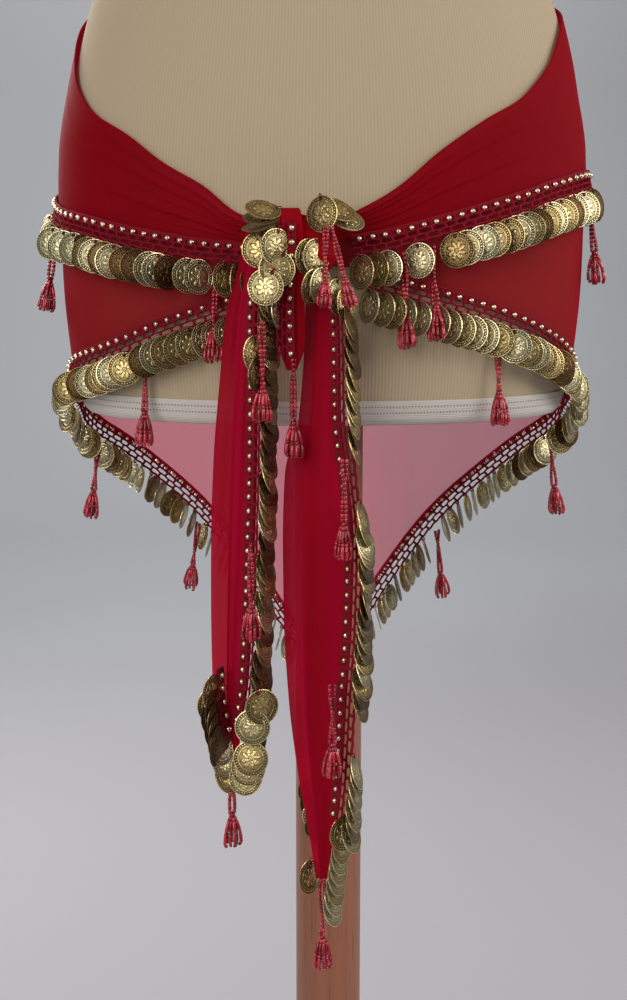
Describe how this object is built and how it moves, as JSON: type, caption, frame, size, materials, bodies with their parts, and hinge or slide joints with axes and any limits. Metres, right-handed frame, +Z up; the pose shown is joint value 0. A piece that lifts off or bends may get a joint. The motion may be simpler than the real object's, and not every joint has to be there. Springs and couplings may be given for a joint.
{
  "type": "belly dance hip scarf on dress form",
  "caption": "Triangular chiffon hip scarf with a shorter overlay, netted coin trim and beaded tassels, knotted in front round a limbless dress form on a round wooden stand.",
  "frame": {"origin": "centre of the stand base's underside, on the floor", "axes": "+Z up, front of the form faces -Y, +X is the viewer's right when facing the front"},
  "size_m": [0.3878, 0.3672, 1.5343],
  "materials": {
    "chiffon": "sheer woven chiffon",
    "coin_trim": "antique gold coins on crimson netting",
    "beads": "silver-lined red glass beads",
    "jersey": "fine ribbed jersey",
    "elastic": "woven elastic",
    "wood": "satin lacquer"
  },
  "bodies": {
    "root": {"chiffon_wrap": "chiffon", "chiffon_overlay": "chiffon", "knot": "chiffon", "tail_left": "chiffon", "tail_right": "chiffon", "form_body": "jersey", "form_hem_band": "elastic", "form_neck_cap": "wood", "stand_pole": "wood", "stand_base": "wood", "trim_hem": "coin_trim", "trim_overlay": "coin_trim", "trim_strand": "coin_trim", "trim_knot_left": "coin_trim", "trim_knot_right": "coin_trim", "trim_tail_left": "coin_trim", "trim_tail_left_tip": "coin_trim", "trim_tail_right": "coin_trim", "trim_tail_right_tip": "coin_trim", "tassel_01": "beads", "tassel_02": "beads", "tassel_03": "beads", "tassel_04": "beads", "tassel_05": "beads", "tassel_06": "beads", "tassel_07": "beads", "tassel_08": "beads", "tassel_09": "beads", "tassel_10": "beads", "tassel_11": "beads", "tassel_12": "beads", "tassel_13": "beads", "tassel_14": "beads", "tassel_15": "beads", "tassel_16": "beads", "tassel_17": "beads", "tassel_18": "beads", "tassel_19": "beads", "tassel_20": "beads", "tassel_21": "beads", "tassel_22": "beads", "tassel_23": "beads"}
  },
  "joints": []
}
